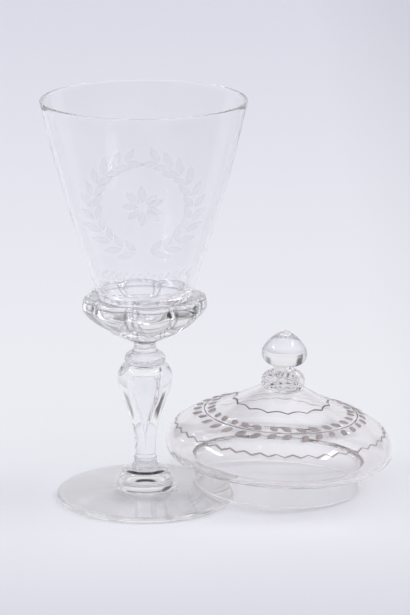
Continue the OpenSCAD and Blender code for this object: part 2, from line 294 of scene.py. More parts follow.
def turned(name, runs, glass):
    line, kinds = flatten(runs)
    count = len(line)
    angles = np.arange(SIDES) * 2 * math.pi / SIDES
    verts, rings = [], []
    for r, z in line:
        if r < 1e-6:
            rings.append([len(verts)] * SIDES)
            verts.append((0, 0, z))
        else:
            rings.append(list(range(len(verts), len(verts) + SIDES)))
            verts += [(r * math.cos(a), r * math.sin(a), z) for a in angles]
    faces, face_kinds, sharp = [], [], set()
    for i in range(count):
        low, high, kind = rings[i], rings[(i + 1) % count], kinds[(i + 1) % count]
        if low[0] == low[1] and high[0] == high[1]:
            continue
        for j in range(SIDES):
            k = (j + 1) % SIDES
            corners = dict.fromkeys((low[j], low[k], high[k], high[j]))
            faces.append(tuple(corners))
            face_kinds.append(kind)
        into, out = line[i] - line[i - 1], line[(i + 1) % count] - line[i]
        turn = abs(math.atan2(into[0] * out[1] - into[1] * out[0], into @ out))
        if turn > CORNER and low[0] != low[1]:
            sharp |= {tuple(sorted((low[j], low[(j + 1) % SIDES]))) for j in range(SIDES)}
    made = mesh_object(name, verts, faces, face_kinds, [glass, fused_joint], sharp)
    print(name, len(verts), "points", len(faces), "faces", len(sharp) // SIDES, "sharp rings")
    return made


# %% [markdown]
# ## Foot
# The foot is a shallow plate with a raised boss under the stem. It stands on a ring near its edge,
# and a round hollow is ground out under its middle. A bevelled cone would come close, but what is
# seen in the boss depends on its round flanks, so its outline is made of curves and turned.

# %% Foot
FOOT_R, FOOT_EDGE_H, FOOT_H, FOOT_SLOPE = 46, 2.9, 17.4, 0.18
BOSS_R, BOSS_FOOT_H, BOSS_TOP_R, BOSS_TOP_H, BOSS_SWELL = 16.2, 6.2, 11.2, 14.8, 1.6
REST_W, UNDER_RISE, HOLLOW_R, HOLLOW_DEPTH = 8, 1.1, 15.5, 1.3
RING_R, RING_TOP_R, RING_H, WAIST_R = 6.6, 6, 4.1, 5.4
foot_edge_r = FOOT_R - FOOT_EDGE_H / 2


def foot_top(r):
    along = np.clip((foot_edge_r - r) / (foot_edge_r - BOSS_R), 0, 1)
    return FOOT_EDGE_H + (BOSS_FOOT_H - FOOT_EDGE_H) * (FOOT_SLOPE * along + (1 - FOOT_SLOPE) * along**2)


hollow = [
    [HOLLOW_R * s, UNDER_RISE + HOLLOW_DEPTH * (1 - s * s)] for s in np.linspace(0, 1, CURVE_STEPS)
]
half_edge = FOOT_EDGE_H / 2
edge = [
    [foot_edge_r + half_edge * math.cos(a), half_edge + half_edge * math.sin(a)]
    for a in np.linspace(-math.pi / 2, math.pi / 2, CURVE_STEPS)
]
plate = [[r, foot_top(r)] for r in np.linspace(foot_edge_r, BOSS_R, CURVE_STEPS)[1:]]
boss_foot, boss_top = (BOSS_R, BOSS_FOOT_H), (BOSS_TOP_R, BOSS_TOP_H)
boss = bow(
    boss_foot,
    (BOSS_R - BOSS_SWELL, BOSS_FOOT_H + BOSS_SWELL / 2),
    (BOSS_TOP_R + BOSS_SWELL, BOSS_TOP_H - BOSS_SWELL / 4),
    boss_top,
)
flare = bow(
    boss_top,
    ((BOSS_TOP_R + RING_R) / 2, BOSS_TOP_H + BOSS_SWELL / 4),
    (RING_R, BOSS_TOP_H + BOSS_SWELL / 4),
    (RING_R, FOOT_H),
)
foot = turned(
    "foot_glass",
    [(SKIN, hollow + [[foot_edge_r - REST_W, 0]] + edge + plate + boss + flare), (FUSED, [[0, FOOT_H]])],
    foot_glass,
)

# %% [markdown]
# ## Stem
# A waisted ring, a hollow baluster, a disc that closes it and a short neck stand on each other. The
# air in the baluster has the shape of a tear with its point down, and ends in a flat top under the
# disc, which shows as a line across the glass. It is a real hollow in the mesh, because only then
# does the light bend round it.

# %% Ring and baluster
WAIST_H, BELLY_R, BELLY_H, BALUSTER_H, SHOULDER_R = 5, 14.1, 43.7, 50.5, 9
MOUTH_R, CAVITY_TIP_H, TAIL_R, TAIL_SHARE, PLUG_H, PLUG_FIT = 6.2, 3, 0.2, 0.6, 6.6, 0.05
SLIM_SHARE, FULL_SHARE = 0.5, 0.3
ring_z = FOOT_H
baluster_z = ring_z + RING_H
disc_z = baluster_z + BALUSTER_H

ring_low, ring_high = np.array((RING_R, ring_z)), np.array((RING_TOP_R, baluster_z))
ring_slim = (ring_low + ring_high + 2 * np.array((WAIST_R, ring_z + RING_H / 2))) / 4
foot_ring = turned(
    "foot_ring_glass",
    [
        (SKIN, [[0, ring_z]]),
        (FUSED, [ring_low]),
        (SKIN, through(ring_low, ring_slim, ring_high) + [[WAIST_R, baluster_z]]),
        (FUSED, [[0, baluster_z]]),
    ],
    worked_glass,
)

waist, belly = (WAIST_R, baluster_z + WAIST_H), (BELLY_R, baluster_z + BELLY_H)
rise = belly[1] - waist[1]
swell = bow(waist, (WAIST_R, waist[1] + SLIM_SHARE * rise), (BELLY_R, belly[1] - FULL_SHARE * rise), belly)
top = (SHOULDER_R, disc_z)
shoulder = bow(belly, (BELLY_R, (belly[1] + disc_z) / 2), ((BELLY_R + SHOULDER_R) / 2, disc_z), top)
tip, ceiling = (0, baluster_z + CAVITY_TIP_H), (MOUTH_R, disc_z - PLUG_H)
tail_z = tip[1] + TAIL_SHARE * (ceiling[1] - tip[1])
air = [tip] + bow(tip, (TAIL_R, tail_z), (MOUTH_R, tail_z), ceiling)
baluster = turned(
    "stem_baluster_glass",
    [
        (SKIN, [[0, baluster_z]]),
        (FUSED, [[WAIST_R, baluster_z]]),
        (SKIN, [waist] + swell + shoulder),
        (FUSED, [[MOUTH_R, disc_z], ceiling]),
        (SKIN, air[-2::-1]),
    ],
    blown_glass,
)

# %% Disc and neck
DISC_R, DISC_WIDE_H, DISC_TOP_R, DISC_H = 10.5, 2.5, 6.9, 6.3
NECK_R, NECK_H, COLLAR_BASE_R = 5.5, 5.3, 6.5
neck_z = disc_z + DISC_H
collar_z = neck_z + NECK_H
wide_z = disc_z + DISC_WIDE_H
disc_low = bow(top, (DISC_R, disc_z), (DISC_R, (disc_z + wide_z) / 2), (DISC_R, wide_z))
disc_high = bow(
    (DISC_R, wide_z),
    (DISC_R, (wide_z + neck_z) / 2),
    ((DISC_R + DISC_TOP_R) / 2, (wide_z + 3 * neck_z) / 4),
    (DISC_TOP_R, neck_z),
)
plug_r, plug_z = MOUTH_R - PLUG_FIT, disc_z - PLUG_H
disc = turned(
    "stem_disc_glass",
    [
        (SKIN, [[0, plug_z], [plug_r, plug_z]]),
        (FUSED, [[plug_r, disc_z], top]),
        (SKIN, disc_low + disc_high),
        (FUSED, [[0, neck_z]]),
    ],
    worked_glass,
)
neck_low, neck_high = (DISC_TOP_R, neck_z), (COLLAR_BASE_R, collar_z)
neck = turned(
    "stem_neck_glass",
    [
        (SKIN, [[0, neck_z]]),
        (FUSED, [neck_low]),
        (SKIN, through(neck_low, (NECK_R, (neck_z + collar_z) / 2), neck_high)),
        (FUSED, [[0, collar_z]]),
    ],
    worked_glass,
)

# %% [markdown]
# ## Bowl
# The bowl is a thin funnel with a rounded base and a fire-polished rim. Its wall grows thicker
# towards the base, and its floor inside is flat in the middle.

# %% Bowl
COLLAR_H, CUP_DEPTH = 23.9, 6.9
RIM_R, BOWL_MID_R, BOWL_LOW_R, BOWL_SEAT_R = 52.5, 39.4, 22.4, 12.5
BOWL_H, BOWL_BASE_H, RIM_WALL, BOWL_WALL = 108.8, 3.9, 1.4, 2.2
FLOOR_H, FLOOR_R, FLOOR_BANK_H, RIM_ROUND_SHARE = 2.8, 12, 9.2, 0.42
lip_z = collar_z + COLLAR_H
bowl_z = lip_z - CUP_DEPTH
rim_z = bowl_z + BOWL_H

seat, low = (BOWL_SEAT_R, bowl_z), (BOWL_LOW_R, bowl_z + BOWL_BASE_H)
base = bow(seat, ((BOWL_SEAT_R + BOWL_LOW_R) / 2, bowl_z), (low[0] - BOWL_WALL, low[1] - BOWL_WALL), low)
wall = [low] + through(low, (BOWL_MID_R, (low[1] + rim_z) / 2), (RIM_R, rim_z))
floor_edge = (FLOOR_R, bowl_z + FLOOR_H)
bank_z = floor_edge[1] + FLOOR_BANK_H
bank = (radius_at(wall, bank_z) - BOWL_WALL, bank_z)
in_z = (bank_z + rim_z) / 2
in_mid = (radius_at(wall, in_z) - (RIM_WALL + BOWL_WALL) / 2, in_z)
in_rim = (RIM_R - RIM_WALL, rim_z)
bank_low = (bank[0] - BOWL_WALL, bank_z - FLOOR_BANK_H / 2)
inside = (
    [floor_edge]
    + bow(floor_edge, (FLOOR_R + BOWL_WALL, floor_edge[1]), bank_low, bank)
    + through(bank, in_mid, in_rim)
)
rim_round = RIM_WALL * RIM_ROUND_SHARE
lip = rounded(wall[-2], wall[-1], in_rim, rim_round) + rounded(wall[-1], in_rim, inside[-2], rim_round)
bowl = turned(
    "bowl_glass",
    [
        (SKIN, [[0, bowl_z]]),
        (FUSED, [seat] + base),
        (SKIN, wall[1:-1] + lip + inside[-2::-1] + [[0, floor_edge[1]]]),
    ],
    blown_glass,
)

# %% [markdown]
# ## Lobed collars
# The collar under the bowl and the small one under the knob are pressed into round lobes. Their shape
# follows one rule: at each height, a lobe is a circle about its own upright axis, and the wall is the
# outermost of the lobe and a plain round core. A Geometry Nodes tree applies that rule to a stack of
# plain rings that carry the lobe's and the core's radius at their height.


# %% The tree that presses lobes
def new_tree(name, sockets):
    tree = bpy.data.node_groups.new(name, "GeometryNodeTree")
    tree.interface.new_socket("Geometry", in_out="INPUT", socket_type="NodeSocketGeometry")
    tree.interface.new_socket("Geometry", in_out="OUTPUT", socket_type="NodeSocketGeometry")
    for label, kind in sockets.items():
        tree.interface.new_socket(label, in_out="INPUT", socket_type="NodeSocket" + kind)
    start = Strand(tree)
    group = start.node("NodeGroupInput")
    return tree, start, {label: group.also(label) for label in ["Geometry", *sockets]}


def close_tree(start, geometry, finish, selection=True):
    real = start.node("GeometryNodeRealizeInstances", {"Geometry": geometry})
    painted = start.node(
        "GeometryNodeSetMaterial", {"Geometry": real, "Selection": selection, "Material": finish}
    )
    out = start.tree.nodes.new("NodeGroupOutput")
    start.tree.links.new(painted.socket, out.inputs["Geometry"])


def grown(piece, tree, values):
    modifier = piece.modifiers.new(tree.name, "NODES")
    modifier.node_group = tree
    for item in tree.interface.items_tree:
        if item.in_out == "INPUT" and item.name in values:
            modifier[item.identifier] = values[item.name]
    piece.data.update()
    shown = piece.evaluated_get(bpy.context.evaluated_depsgraph_get())
    mesh = bpy.data.meshes.new_from_object(shown)
    made = bpy.data.objects.new(piece.name.replace("_base", ""), mesh)
    bpy.context.scene.collection.objects.link(made)
    piece.modifiers.clear()
    bpy.data.objects.remove(piece)
    mesh.polygons.foreach_set("use_smooth", [True] * len(mesh.polygons))
    print(made.name, len(mesh.polygons), "faces from", tree.name)
    return made


press, start, given = new_tree(
    "press lobes",
    {"Lobes": "Int", "Lobe Axis": "Float", "Turn": "Float", "Softness": "Float", "Finish": "Material"},
)
spot = start.node("GeometryNodeInputPosition")
across = start.node("ShaderNodeSeparateXYZ", [spot])
angle = across.also("Y").maths("ARCTAN2", across)
half_pitch = math.pi / given["Lobes"]
aside = (angle - given["Turn"]).maths("WRAP", half_pitch, half_pitch * -1)
lobe = start.node("GeometryNodeInputNamedAttribute", {"Name": "lobe"}, data_type="FLOAT")
core = start.node("GeometryNodeInputNamedAttribute", {"Name": "core"}, data_type="FLOAT")
skew = given["Lobe Axis"] * aside.maths("SINE")
square = (lobe * lobe - skew * skew).maths("MAXIMUM", 0)
inside_lobe = lobe.maths("GREATER_THAN", skew.maths("ABSOLUTE"))
reach = (given["Lobe Axis"] * aside.maths("COSINE") + square.maths("SQRT")) * inside_lobe
pressed = core.maths("SMOOTH_MAX", reach, given["Softness"])
moved = start.node(
    "ShaderNodeCombineXYZ",
    [pressed * angle.maths("COSINE"), pressed * angle.maths("SINE"), across.also("Z")],
)
shaped = start.node("GeometryNodeSetPosition", {"Geometry": given["Geometry"], "Position": moved})
skin = start.node("GeometryNodeInputNamedAttribute", {"Name": "skin"}, data_type="BOOLEAN")
close_tree(start, shaped, given["Finish"], skin)
print(press.name, len(press.nodes), "nodes")


# %% Rings for the lobed collars
def ring_stack(name, levels, sides, fused_levels, glass):
    verts, lobes, cores, faces, skins = [], [], [], [], []
    for z, lobe_radius, core_radius in levels:
        for i in range(sides):
            a = (i + 0.5) * 2 * math.pi / sides
            verts.append((math.cos(a), math.sin(a), z))
            lobes.append(lobe_radius * MM)
            cores.append(core_radius * MM)
    for k in range(len(levels) - 1):
        for i in range(sides):
            j = (i + 1) % sides
            faces.append((k * sides + i, k * sides + j, (k + 1) * sides + j, (k + 1) * sides + i))
            skins.append(k not in fused_levels)
    last = (len(levels) - 1) * sides
    faces += [tuple(reversed(range(sides))), tuple(range(last, last + sides))]
    skins += [False, False]
    made = mesh_object(name, verts, faces, [SKIN if s else FUSED for s in skins], [glass, fused_joint])
    for label, kind, domain, values in (
        ("lobe", "FLOAT", "POINT", lobes),
        ("core", "FLOAT", "POINT", cores),
        ("skin", "BOOLEAN", "FACE", skins),
    ):
        made.data.attributes.new(label, kind, domain).data.foreach_set("value", values)
    return made


# %% [markdown]
# ## Collar under the bowl
# Each lobe bellies out from the stem, turns in at its rim and closes over the cup that the bowl
# stands in. On the real collar, thin dark lines frame each lobe, where the light bends sharply.
# Smooth lobes give too few of them, so this glass has dark lines of painted shade in its tint beside
# each groove, below the rim and low on the lobe.

# %% Levels of the collar
LOBES, COLLAR_R, LOBE_R, LOBE_DEPTH, LOBE_FULLNESS = 8, 32, 13.6, 12.7, 1.75
LOBE_RIM_H, LOBE_RIM_IN, CUP_FIT, CUP_EDGE, LOBE_TURN = 5.3, 1.8, 0.2, 1.8, 8
RIM_STEPS = 10
lobe_at = COLLAR_R - LOBE_R
lobe_wide_z = lip_z - LOBE_RIM_H
lobe_turn = math.radians(LOBE_TURN - 90)
levels = [[collar_z, 0, COLLAR_BASE_R], [lobe_wide_z - LOBE_DEPTH, 0, lobe_at]]
for i in range(1, CURVE_STEPS + 1):
    down = 1 - (i / CURVE_STEPS) ** LOBE_FULLNESS
    levels.append([lobe_wide_z - LOBE_DEPTH * down, LOBE_R * (1 - down**LOBE_FULLNESS), lobe_at])
for i in range(1, RIM_STEPS + 1):
    a = math.pi / 2 * i / RIM_STEPS
    turned_in = LOBE_RIM_IN * (1 - math.cos(a))
    levels.append([lobe_wide_z + LOBE_RIM_H * math.sin(a), LOBE_R - turned_in, lobe_at])
levels.append([lip_z, 0, BOWL_LOW_R + CUP_EDGE])
cup_start = len(levels)
levels += [[z, 0, r + CUP_FIT] for r, z in base[::-1] + [seat]]
fused_cup = range(cup_start, len(levels) - 1)
print("collar:", len(levels), "levels, of which", len(fused_cup), "are fused to the bowl")

# %% Collar
LINE_ASIDE, LINE_HALF, GROOVE_SHADE_DEPTH, PANEL_SHARE = 1.2, 0.55, 0.85, 0.6
LOBE_SIDES, LOBE_SOFTNESS = 32, 0.3


# painted shade: dark lines beside each groove, below the rim and low on the lobe
def painted_groove_shade(place):
    across = place.node("ShaderNodeSeparateXYZ", [place])
    angle = across.also("Y").maths("ARCTAN2", across) - lobe_turn
    half_pitch = math.pi / LOBES
    aside = half_pitch - angle.maths("WRAP", half_pitch, -half_pitch).maths("ABSOLUTE")
    nearest = (aside * (lobe_at * MM) - LINE_ASIDE * MM).maths("ABSOLUTE")
    for line_z in (lip_z - LOBE_RIM_H / 3, lobe_wide_z - LOBE_DEPTH * PANEL_SHARE):
        nearest = nearest.maths("MINIMUM", (across.also("Z") - line_z * MM).maths("ABSOLUTE"))
    return (1 - nearest / (LINE_HALF * MM)).maths("MAXIMUM", 0) * GROOVE_SHADE_DEPTH


pressed_glass = glass_finish("pressed glass", *WORKED, painted_groove_shade)
collar = grown(
    ring_stack("collar_glass_base", levels, LOBES * LOBE_SIDES, fused_cup, pressed_glass),
    press,
    {
        "Lobes": LOBES,
        "Lobe Axis": lobe_at * MM,
        "Turn": lobe_turn,
        "Softness": LOBE_SOFTNESS * MM,
        "Finish": pressed_glass,
    },
)

# %% [markdown]
# ## Lid
# The lid is a blown dome with a full shoulder and an upright flange that centres it in the bowl. It
# leans on the foot. Its pieces are made upright, which keeps their outlines plain, and one matrix
# puts them in place later.

# %% Lid dome and flange
FLANGE_R, FLANGE_H, FLANGE_WALL, LID_WALL = 43.8, 12.4, 1.8, 1.8
FLANGE_ROUND, INNER_ROUND, INNER_STEPS = 0.75, 4.2, 16
STEP_R, LID_R, LID_WIDE_H = 46.5, 59.3, 21
CROWN_R, CROWN_H, PAD_R, PAD_H, CROWN_SLOPE = 38, 39.1, 11, 52.4, 0.22
LID_STEM_GAP, LID_BEARING, LID_REST_GAP = 4, 12, 0.15
lid_reach = LID_R + RING_R + LID_STEM_GAP
lid_tilt = math.asin((foot_top(lid_reach - FLANGE_R) + LID_REST_GAP) / (2 * FLANGE_R))
lean = (
    Matrix.Rotation(math.radians(LID_BEARING), 4, "Z")
    @ Matrix.Translation((lid_reach * MM, 0, FLANGE_R * math.sin(lid_tilt) * MM))
    @ Matrix.Rotation(lid_tilt, 4, "Y")
)

step, wide = np.array((STEP_R, FLANGE_H)), np.array((LID_R, LID_WIDE_H))
crown, pad = np.array((CROWN_R, CROWN_H)), np.array((PAD_R, PAD_H))
lead = np.array((1, -CROWN_SLOPE))
dome_line = (
    [step.tolist()]
    + bow(step, ((STEP_R + 2 * LID_R) / 3, FLANGE_H), (LID_R, (FLANGE_H + LID_WIDE_H) / 2), wide)
    + bow(wide, (LID_R, (LID_WIDE_H + CROWN_H) / 2), crown + lead * (LID_R - CROWN_R) / 2, crown)
    + bow(crown, crown - lead * (CROWN_R - PAD_R) / 4, (crown + 2 * pad) / 3, pad)
)
line = np.array(dome_line)
along = np.gradient(line, axis=0)
side = np.stack([-along[:, 1], along[:, 0]], 1) / np.linalg.norm(along, axis=1)[:, None]
dome_inner = (line + LID_WALL * side)[::-1].tolist()
mouth = FLANGE_R - FLANGE_WALL
ledge = rounded(dome_inner[-1], [mouth, FLANGE_H + LID_WALL], [mouth, 0], INNER_ROUND, INNER_STEPS)
joint_r = radius_at(ledge[::-1], FLANGE_H)
lid_dome = turned(
    "lid_dome_glass",
    [
        (SKIN, [[joint_r, FLANGE_H]]),
        (FUSED, [[FLANGE_R, FLANGE_H]]),
        (SKIN, dome_line),
        (FUSED, [[0, PAD_H], [0, dome_inner[0][1]]]),
        (SKIN, dome_inner[:-1] + [p for p in ledge if p[1] > FLANGE_H]),
    ],
    lid_glass,
)
flange_in, flange_out = [mouth, 0], [FLANGE_R, 0]
flange_edge = rounded([mouth, FLANGE_H], flange_in, flange_out, FLANGE_ROUND)
flange_edge += rounded(flange_in, flange_out, [FLANGE_R, FLANGE_H], FLANGE_ROUND)
lid_flange = turned(
    "lid_flange_glass",
    [
        (SKIN, flange_edge + [[FLANGE_R, FLANGE_H]]),
        (FUSED, [[joint_r, FLANGE_H]]),
        (SKIN, [p for p in ledge if p[1] < FLANGE_H]),
    ],
    lid_glass,
)

# %% [markdown]
# ## Finial
# A small collar of four lobes and a pointed knob stand on the lid. The collar comes from the same
# tree as the big one, with other sizes, and the knob is turned.

# %% Finial
FINIAL_LOBES, FINIAL_R, FINIAL_LOBE_R, FINIAL_LOBE_H = 4, 11.8, 6.8, 7
FINIAL_WIDE_H, FINIAL_LOBE_TOP_H, FINIAL_NECK_H = 3, 9.6, 2.4
FINIAL_BASE_R, FINIAL_NECK_R, FINIAL_TURN = 10.4, 5.3, 7
FINIAL_LOW_STEPS, FINIAL_LOBE_SIDES = 8, 48
KNOB_R, KNOB_WIDE_H, KNOB_H, POINT_SHARE = 11.8, 6.3, 18.4, 0.62
finial_at = FINIAL_R - FINIAL_LOBE_R
finial_wide_z = PAD_H + FINIAL_WIDE_H
knob_z = PAD_H + FINIAL_LOBE_TOP_H + FINIAL_NECK_H
narrowing = (FINIAL_BASE_R - FINIAL_NECK_R) / FINIAL_LOBE_TOP_H
rounds = []
for i in range(FINIAL_LOW_STEPS):
    down = FINIAL_WIDE_H * (1 - i / FINIAL_LOW_STEPS)
    rounds.append([-down, FINIAL_LOBE_R * math.sqrt(1 - (down / FINIAL_LOBE_H) ** 2)])
for i in range(CURVE_STEPS + 1):
    a = math.pi / 2 * i / CURVE_STEPS
    rounds.append([(FINIAL_LOBE_TOP_H - FINIAL_WIDE_H) * math.sin(a), FINIAL_LOBE_R * math.cos(a)])
levels = [
    [finial_wide_z + h, lobe_r, FINIAL_BASE_R - narrowing * (FINIAL_WIDE_H + h)] for h, lobe_r in rounds
]
levels.append([knob_z, 0, FINIAL_NECK_R])
finial_collar = grown(
    ring_stack("finial_collar_glass_base", levels, FINIAL_LOBES * FINIAL_LOBE_SIDES, (), lid_glass),
    press,
    {
        "Lobes": FINIAL_LOBES,
        "Lobe Axis": finial_at * MM,
        "Turn": math.radians(FINIAL_TURN - 90),
        "Softness": LOBE_SOFTNESS * MM,
        "Finish": lid_glass,
    },
)
knob_neck, point = (FINIAL_NECK_R, knob_z), (0, knob_z + KNOB_H)
knob_wide = (KNOB_R, knob_z + KNOB_WIDE_H)
knob_low = bow(
    knob_neck, ((FINIAL_NECK_R + 3 * KNOB_R) / 4, knob_z), (KNOB_R, (knob_z + knob_wide[1]) / 2), knob_wide
)
knob_high = bow(
    knob_wide,
    (KNOB_R, (3 * knob_wide[1] + point[1]) / 4),
    (KNOB_R * POINT_SHARE, (knob_wide[1] + 3 * point[1]) / 4),
    point,
)
finial_knob = turned(
    "finial_knob_glass",
    [(SKIN, [[0, knob_z]]), (FUSED, [knob_neck]), (SKIN, knob_low + knob_high)],
    worked_glass,
)

# %% [markdown]
# ## Paint on the lid
# Two rows of leaves run along a thin stem round the lid's top, between a scalloped line and a zigzag
# line. They were painted by hand in a grey-brown enamel, which lies thicker in places and looks
# darker in the thinnest lines. So there are two enamels, and a noise thins each of them.

# %% Enamel
PATCH_SCALE, SWEEP_SCALE, PATCH_SHARE = 420, 60, 0.55
COVER_FROM, COVER_CONTRAST, ENAMEL_GRAIN = 0.3, 2.4, 0.00006


def enamel_finish(name, thin, thick):
    material, shader, start, place = new_finish(name)
    patch = noise(place, PATCH_SCALE, 3)
    sweep = noise(place, SWEEP_SCALE, 1)
    cover = (patch * PATCH_SHARE + sweep * (1 - PATCH_SHARE) - COVER_FROM) * COVER_CONTRAST
    plug(shader, "Base Color", blend(cover, thin, thick))
    plug(shader, "Roughness", 0.32 + patch * 0.3)
    roughen(shader, patch, 0.3, ENAMEL_GRAIN)
    return material


enamel = enamel_finish("taupe enamel", (0.46, 0.4, 0.405, 1), (0.26, 0.225, 0.23, 1))
line_enamel = enamel_finish("dark taupe enamel", (0.24, 0.2, 0.205, 1), (0.12, 0.1, 0.105, 1))
print("enamels:", enamel.name, "and", line_enamel.name)

# %% [markdown]
# ## Strokes and leaves that follow the glass
# Painted lines and leaves repeat along a path and lie on a curved surface, so Geometry Nodes make
# them. One tree draws a waving line, the other sets leaves along a path. Both lay their strokes out
# flat and then drop each point on the glass with Raycast, which keeps the paint's thickness as real
# geometry.

# %% Trees for strokes and leaves
PAINT, CLEAR_ABOVE = 0.00008, 0.2
TOOTH_STEPS, LOAD_STEPS, BRUSH_SIDES = 12, 6, 8
LEAST_LOAD, MOST_LOAD, SIZE_SPREAD = 0.55, 1.25, 0.1


def laid_down(start, geometry, surface, ray, lift):
    spot = start.node("GeometryNodeInputPosition")
    target = start.node("GeometryNodeObjectInfo", {"Object": surface}, out="Geometry")
    hit = start.node(
        "GeometryNodeRaycast",
        {"Target Geometry": target, "Source Position": spot, "Ray Direction": ray, "Ray Length": 1.0},
        out="Hit Position",
    )
    up = start.node("ShaderNodeVectorMath", {0: hit.also("Hit Normal"), "Scale": lift}, operation="SCALE")
    place = start.node("ShaderNodeVectorMath", [hit, up], operation="ADD")
    return start.node("GeometryNodeSetPosition", {"Geometry": geometry, "Position": place})


strokes, start, given = new_tree(
    "painted line",
    {
        "Surface": "Object",
        "Radius": "Float",
        "Teeth": "Int",
        "Swing": "Float",
        "Scallop": "Float",
        "Width": "Float",
        "Hand": "Float",
        "Seed": "Int",
        "Finish": "Material",
    },
)
circle = start.node(
    "GeometryNodeCurvePrimitiveCircle",
    {"Resolution": given["Teeth"] * TOOTH_STEPS, "Radius": given["Radius"]},
)
index = start.node("GeometryNodeInputIndex")
share = (index / TOOTH_STEPS).maths("FRACT")
tooth = (index / TOOTH_STEPS).maths("FLOOR")
zigzag = share.maths("PINGPONG", 0.5) * 4 - 1
scallop = 1 - (share * math.pi).maths("SINE") * 2
wave = zigzag * (1 - given["Scallop"]) + scallop * given["Scallop"]
shake = start.node(
    "FunctionNodeRandomValue",
    {2: -1.0, 3: 1.0, "ID": tooth, "Seed": given["Seed"]},
    out=1,
    data_type="FLOAT",
)
ratio = 1 + (wave * given["Swing"] + shake * given["Hand"]) / given["Radius"]
spot = start.node("GeometryNodeInputPosition")
swung = start.node("ShaderNodeVectorMath", {0: spot, "Scale": ratio}, operation="SCALE")
drawn = start.node("GeometryNodeSetPosition", {"Geometry": circle, "Position": swung})
load = start.node(
    "FunctionNodeRandomValue",
    {2: LEAST_LOAD, 3: MOST_LOAD, "ID": (index / LOAD_STEPS).maths("FLOOR"), "Seed": given["Seed"]},
    out=1,
    data_type="FLOAT",
)
brush = start.node(
    "GeometryNodeCurvePrimitiveCircle", {"Resolution": BRUSH_SIDES, "Radius": given["Width"]}
)
ribbon = start.node("GeometryNodeCurveToMesh", {"Curve": drawn, "Profile Curve": brush, "Scale": load})
depth = start.node("ShaderNodeSeparateXYZ", [start.node("GeometryNodeInputPosition")], out="Z")
above = depth / given["Width"] * (PAINT / 2) + PAINT
kept = start.node("GeometryNodeStoreNamedAttribute", {"Geometry": ribbon, "Name": "lift", "Value": above})
raised = start.node("GeometryNodeTransform", {"Geometry": kept, "Translation": (0, 0, CLEAR_ABOVE)})
lift = start.node("GeometryNodeInputNamedAttribute", {"Name": "lift"}, data_type="FLOAT")
close_tree(start, laid_down(start, raised, given["Surface"], (0, 0, -1), lift), given["Finish"])

leaves, start, given = new_tree(
    "leaves along a path",
    {
        "Surface": "Object",
        "Leaf": "Object",
        "Count": "Int",
        "Sweep": "Float",
        "Sway": "Float",
        "Size": "Float",
        "Tilt": "Vector",
        "Shift": "Vector",
        "Ray": "Vector",
        "Seed": "Int",
        "Finish": "Material",
    },
)
path = start.node("GeometryNodeMeshToCurve", {"Mesh": given["Geometry"]})
spaced = start.node("GeometryNodeResampleCurve", {"Curve": path, "Count": given["Count"]})
ahead = start.node("ShaderNodeSeparateXYZ", [start.node("GeometryNodeInputTangent")])
jitter = start.node(
    "FunctionNodeRandomValue", {2: -1.0, 3: 1.0, "Seed": given["Seed"]}, out=1, data_type="FLOAT"
)
heading = ahead.also("Y").maths("ARCTAN2", ahead) + given["Sweep"] + jitter * given["Sway"]
turn = start.node("FunctionNodeEulerToRotation", [start.node("ShaderNodeCombineXYZ", {"Z": heading})])
leaf_mesh = start.node("GeometryNodeObjectInfo", {"Object": given["Leaf"]}, out="Geometry")
size = given["Size"] * (1 + jitter * SIZE_SPREAD)
placed = start.node(
    "GeometryNodeInstanceOnPoints",
    {"Points": spaced, "Instance": leaf_mesh, "Rotation": turn, "Scale": size},
)
sheet = start.node("GeometryNodeRealizeInstances", {"Geometry": placed})
depth = start.node("ShaderNodeSeparateXYZ", [start.node("GeometryNodeInputPosition")], out="Z")
kept = start.node("GeometryNodeStoreNamedAttribute", {"Geometry": sheet, "Name": "lift", "Value": depth})
tilted = start.node(
    "GeometryNodeTransform", {"Geometry": kept, "Translation": given["Shift"], "Rotation": given["Tilt"]}
)
lift = start.node("GeometryNodeInputNamedAttribute", {"Name": "lift"}, data_type="FLOAT")
close_tree(start, laid_down(start, tilted, given["Surface"], given["Ray"], lift), given["Finish"])
print(strokes.name, len(strokes.nodes), "nodes,", leaves.name, len(leaves.nodes), "nodes")

# %% [markdown]
# ## Garland
# A leaf is a thin pointed oval, a little raised in its middle. It starts a short way from the stem
# and lies a hair above the glass, so that paint and glass never share a face. One leaf is drawn and
# the tree repeats it.


# %% Leaf and path
def leaf_shape(name, start_at, length, width, thick, above):
    share = np.linspace(0, 1, 9)
    half = width / 2 * np.sin(math.pi * share**0.85) ** 0.8
    half[0] = half[-1] = 0
    rim = [(start_at + length * s, h) for s, h in zip(share, half)]
    rim += [(x, -h) for x, h in rim[-2:0:-1]]
    count = len(rim)
    verts = [(x, y, above) for x, y in rim] + [(x, y, thick * 0.4) for x, y in rim]
    ridge = len(verts)
    verts += [(start_at + length * s, 0, thick) for s in (0.3, 0.55, 0.8)]
    faces = [tuple(reversed(range(count)))]
    faces += [(i, (i + 1) % count, count + (i + 1) % count, count + i) for i in range(count)]
    nearest = [min(range(3), key=lambda k: abs(verts[ridge + k][0] - rim[i][0])) for i in range(count)]
    for i in range(count):
        j = (i + 1) % count
        faces.append((count + i, count + j, ridge + nearest[j]))
        if nearest[i] != nearest[j]:
            faces.append((count + i, ridge + nearest[j], ridge + nearest[i]))
    return mesh_object(name, verts, faces, [0] * len(faces), [enamel])


def path_object(name, points):
    edges = [(i, i + 1) for i in range(len(points) - 1)]
    mesh = bpy.data.meshes.new(name)
    mesh.from_pydata([tuple(c * MM for c in p) for p in points], edges, [])
    made = bpy.data.objects.new(name, mesh)
    bpy.context.scene.collection.objects.link(made)
    return made


def circle_path(name, radius, start_angle, sweep, steps=180):
    angles = np.radians(np.linspace(start_angle, start_angle + sweep, steps))
    return path_object(name, [(radius * math.cos(a), radius * math.sin(a), 0) for a in angles])


